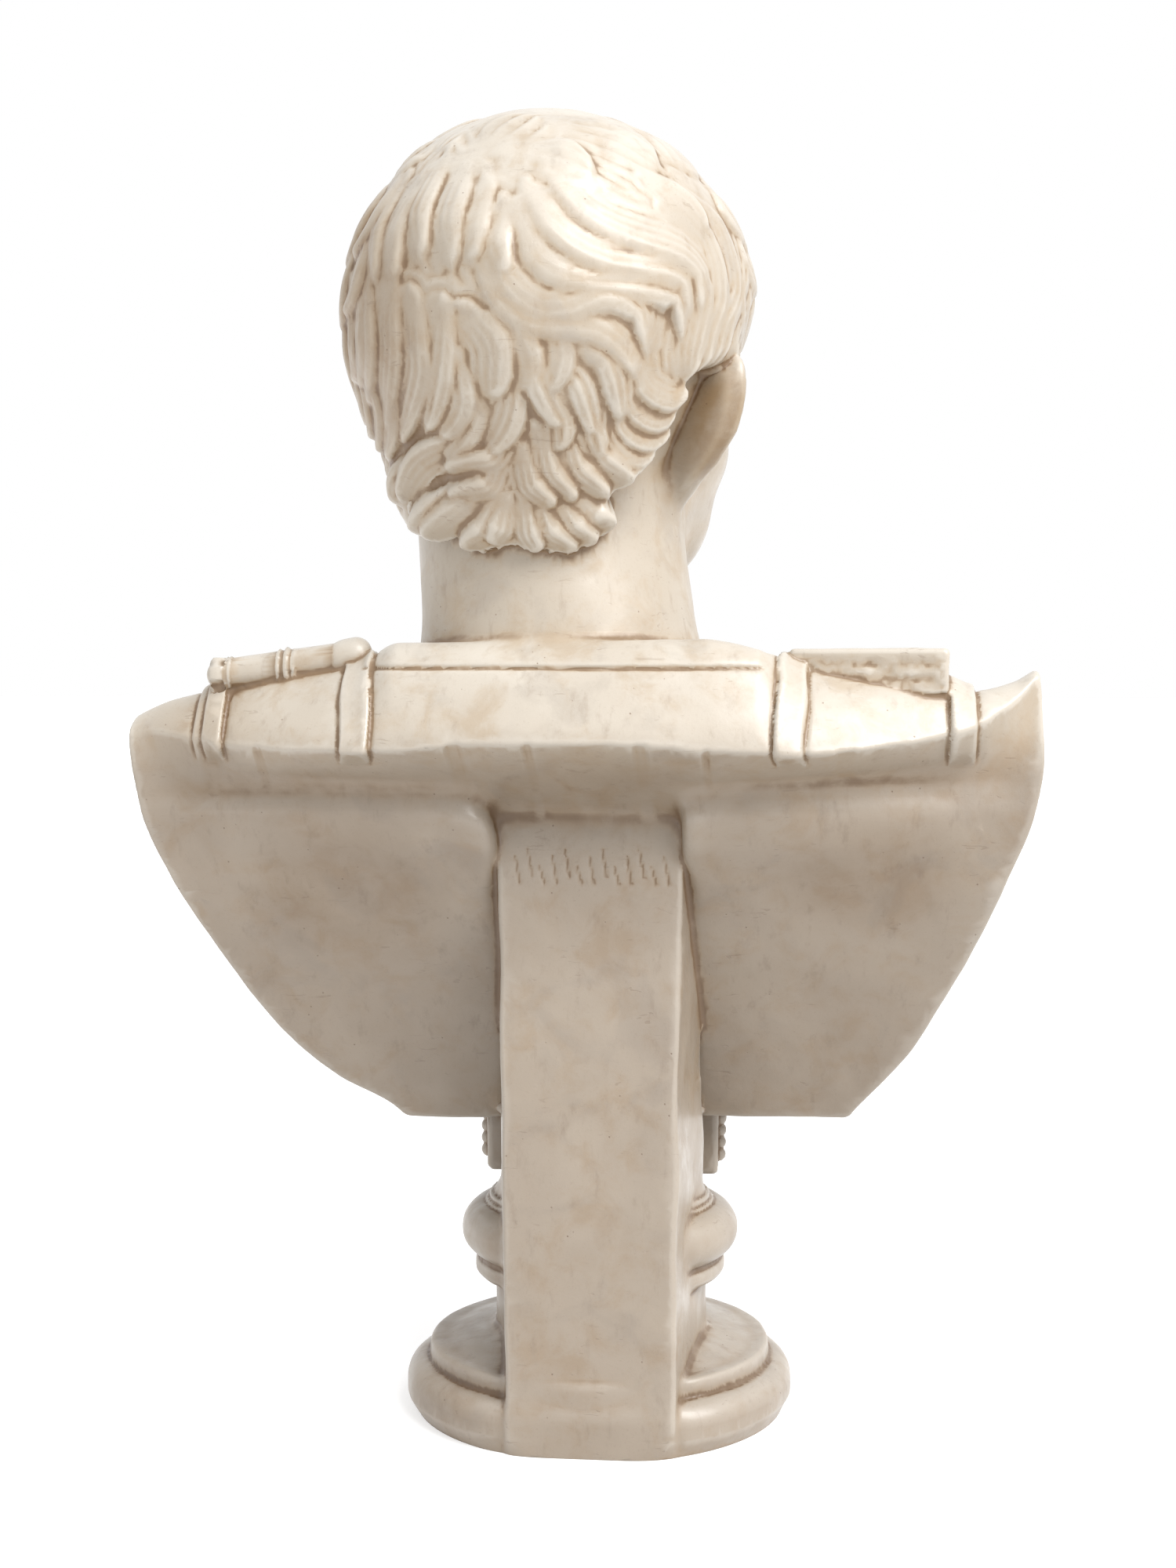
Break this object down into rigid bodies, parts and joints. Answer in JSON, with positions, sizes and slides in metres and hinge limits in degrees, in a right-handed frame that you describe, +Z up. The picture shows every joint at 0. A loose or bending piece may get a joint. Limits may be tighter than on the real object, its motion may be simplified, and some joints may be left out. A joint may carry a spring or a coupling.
{
  "type": "portrait bust",
  "caption": "Over-life-size plaster cast of a cuirassed Roman emperor bust, seen from behind, on a turned socle with a back post.",
  "frame": {"origin": "centre of the socle's turning axis on its flat underside", "axes": "+Z up, the figure faces -Y and its left side is towards +X; the picture is taken from +Y"},
  "size_m": [0.5497, 0.3033, 0.7869],
  "materials": {
    "plaster": "satin"
  },
  "bodies": {
    "root": {"bust": "plaster"}
  },
  "joints": []
}
